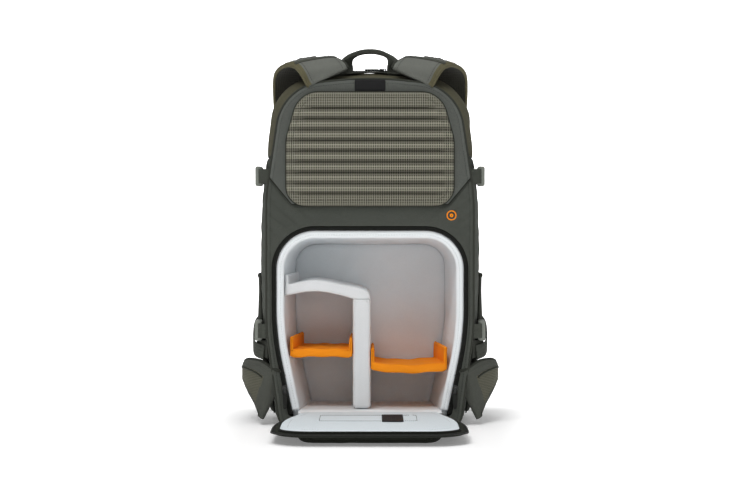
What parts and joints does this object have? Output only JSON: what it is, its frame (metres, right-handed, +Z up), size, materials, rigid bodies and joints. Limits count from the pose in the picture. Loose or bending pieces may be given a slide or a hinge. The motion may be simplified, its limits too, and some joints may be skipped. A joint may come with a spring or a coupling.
{
  "type": "camera backpack",
  "caption": "Camera backpack with harness-side access: a zip-edged padded flap folds down to open a lined compartment with movable padded dividers.",
  "frame": {"origin": "centre of the base, on the floor that the bag stands on", "axes": "+Z up; -Y out of the harness side, which the wearer's back touches; +X to the right of someone facing that side"},
  "size_m": [0.348, 0.4786, 0.4905],
  "materials": {
    "upper_cloth": "woven polyester, blue-grey",
    "lower_cloth": "woven polyester, dark olive grey",
    "olive_cloth": "woven polyester, olive",
    "air_mesh": "embossed spacer mesh",
    "belt_cloth": "padded woven polyester",
    "stretch_mesh": "elastic mesh",
    "lining_foam": "brushed lining over closed-cell foam",
    "flap_cloth_light": "smooth woven lining",
    "divider_grey": "brushed tricot over foam",
    "divider_orange": "brushed tricot over foam",
    "webbing": "ribbed nylon webbing",
    "buckle_plastic": "moulded acetal, satin",
    "zip_tape": "coil zip tape",
    "zip_metal": "black enamelled die-cast zinc",
    "pull_rubber": "moulded soft rubber",
    "label_black": "plain moulded rubber patch",
    "frame_plastic": "extruded polyethylene sheet"
  },
  "bodies": {
    "bag": {"back_pad": "air_mesh", "back_panel_lower": "lower_cloth", "back_panel_upper": "upper_cloth", "base_panel": "lower_cloth", "body_zip_tape": "zip_tape", "buckle_sockets": "buckle_plastic", "compartment_back": "lining_foam", "compartment_ceiling": "lining_foam", "compartment_floor": "lining_foam", "compartment_wall_left": "lining_foam", "compartment_wall_right": "lining_foam", "compression_webbing": "webbing", "frame_sheet": "frame_plastic", "front_panel": "lower_cloth", "front_pocket": "lower_cloth", "front_zip_tape": "zip_tape", "lining_rim": "lining_foam", "side_panel_left": "lower_cloth", "side_panel_right": "lower_cloth", "side_pocket_left": "stretch_mesh", "side_pocket_right": "stretch_mesh", "strap_webbing_left": "webbing", "strap_webbing_right": "webbing", "top_gusset": "olive_cloth", "top_label": "label_black", "top_zip_tape": "zip_tape"},
    "rear_flap": {"flap_panel": "lower_cloth", "flap_lining": "flap_cloth_light", "flap_zip_tape": "zip_tape", "lumbar_pad": "air_mesh", "flap_pocket": "flap_cloth_light"},
    "grab_handle": {"grab_handle": "webbing"},
    "top_slider": {"top_zip_slider": "zip_metal"},
    "top_pull": {"top_zip_pull": "pull_rubber"},
    "front_slider": {"front_zip_slider": "zip_metal"},
    "front_pull": {"front_zip_pull": "pull_rubber"},
    "divider_tall": {"divider_tall": "divider_grey"},
    "divider_arched": {"divider_arched": "divider_grey"},
    "divider_orange_left": {"divider_orange_left": "divider_orange"},
    "divider_orange_right": {"divider_orange_right": "divider_orange"},
    "shoulder_strap_left": {"shoulder_strap_left": "upper_cloth", "strap_adjuster_left": "buckle_plastic"},
    "belt_wing_left": {"belt_wing_left": "belt_cloth", "belt_webbing_left": "webbing", "belt_buckle_socket": "buckle_plastic"},
    "rear_slider_left": {"rear_zip_slider_left": "zip_metal"},
    "rear_pull_left": {"rear_zip_pull_left": "pull_rubber"},
    "plug_upper_left": {"buckle_plug_upper_left": "buckle_plastic"},
    "plug_lower_left": {"buckle_plug_lower_left": "buckle_plastic"},
    "shoulder_strap_right": {"shoulder_strap_right": "upper_cloth", "strap_adjuster_right": "buckle_plastic"},
    "belt_wing_right": {"belt_wing_right": "belt_cloth", "belt_webbing_right": "webbing", "belt_buckle_plug": "buckle_plastic"},
    "rear_slider_right": {"rear_zip_slider_right": "zip_metal"},
    "rear_pull_right": {"rear_zip_pull_right": "pull_rubber"},
    "plug_upper_right": {"buckle_plug_upper_right": "buckle_plastic"},
    "plug_lower_right": {"buckle_plug_lower_right": "buckle_plastic"}
  },
  "joints": [
    {"name": "flap_hinge", "type": "hinge", "parent": "bag", "child": "rear_flap", "pos_m": [0, -0.087, 0.01], "axis": [-1, 0, 0], "range_deg": [0, 90]},
    {"name": "handle_fold", "type": "hinge", "parent": "bag", "child": "grab_handle", "pos_m": [0, -0.045, 0.463], "axis": [-1, 0, 0], "range_deg": [-25, 60]},
    {"name": "strap_lift_left", "type": "hinge", "parent": "bag", "child": "shoulder_strap_left", "pos_m": [-0.054, -0.079, 0.456], "axis": [1, 0, 0], "range_deg": [0, 30]},
    {"name": "belt_swing_left", "type": "hinge", "parent": "bag", "child": "belt_wing_left", "pos_m": [-0.131, -0.081, 0.045], "axis": [0, 0, 1], "range_deg": [0, 100]},
    {"name": "rear_zip_left", "type": "slide", "parent": "bag", "child": "rear_slider_left", "axis": [-0.2032, 0, 0.9791], "range_m": [0, 0.055]},
    {"name": "rear_pull_left", "type": "hinge", "parent": "rear_slider_left", "child": "rear_pull_left", "pos_m": [-0.11061, -0.0887, 0.0473], "axis": [-1, 0, 0], "range_deg": [0, 150]},
    {"name": "buckle_upper_left", "type": "slide", "parent": "bag", "child": "plug_upper_left", "axis": [0, 1, 0], "range_m": [0, 0.016]},
    {"name": "buckle_lower_left", "type": "slide", "parent": "bag", "child": "plug_lower_left", "axis": [0, 1, 0], "range_m": [0, 0.016]},
    {"name": "strap_lift_right", "type": "hinge", "parent": "bag", "child": "shoulder_strap_right", "pos_m": [0.054, -0.079, 0.456], "axis": [1, 0, 0], "range_deg": [0, 30]},
    {"name": "belt_swing_right", "type": "hinge", "parent": "bag", "child": "belt_wing_right", "pos_m": [0.131, -0.081, 0.045], "axis": [0, 0, -1], "range_deg": [0, 100]},
    {"name": "rear_zip_right", "type": "slide", "parent": "bag", "child": "rear_slider_right", "axis": [0.2032, 0, 0.9791], "range_m": [0, 0.055]},
    {"name": "rear_pull_right", "type": "hinge", "parent": "rear_slider_right", "child": "rear_pull_right", "pos_m": [0.11061, -0.0887, 0.0473], "axis": [-1, 0, 0], "range_deg": [0, 150]},
    {"name": "buckle_upper_right", "type": "slide", "parent": "bag", "child": "plug_upper_right", "axis": [0, 1, 0], "range_m": [0, 0.016]},
    {"name": "buckle_lower_right", "type": "slide", "parent": "bag", "child": "plug_lower_right", "axis": [0, 1, 0], "range_m": [0, 0.016]},
    {"name": "top_zip", "type": "slide", "parent": "bag", "child": "top_slider", "axis": [-1, 0, 0], "range_m": [0, 0.05]},
    {"name": "top_pull_lift", "type": "hinge", "parent": "top_slider", "child": "top_pull", "pos_m": [0.0183, -0.013, 0.4669], "axis": [0, 1, 0], "range_deg": [0, 150]},
    {"name": "front_zip", "type": "slide", "parent": "bag", "child": "front_slider", "axis": [-1, 0, 0], "range_m": [0, 0.09]},
    {"name": "front_pull_lift", "type": "hinge", "parent": "front_slider", "child": "front_pull", "pos_m": [0.04, 0.1195, 0.262], "axis": [1, 0, 0], "range_deg": [0, 150]},
    {"name": "tall_pull_out", "type": "slide", "parent": "bag", "child": "divider_tall", "axis": [0, 1, 0], "range_m": [-0.13, 0]},
    {"name": "arched_pull_out", "type": "slide", "parent": "bag", "child": "divider_arched", "axis": [0, 1, 0], "range_m": [-0.13, 0]},
    {"name": "orange_left_pull_out", "type": "slide", "parent": "bag", "child": "divider_orange_left", "axis": [0, 1, 0], "range_m": [-0.13, 0]},
    {"name": "orange_right_pull_out", "type": "slide", "parent": "bag", "child": "divider_orange_right", "axis": [0, 1, 0], "range_m": [-0.13, 0]}
  ]
}
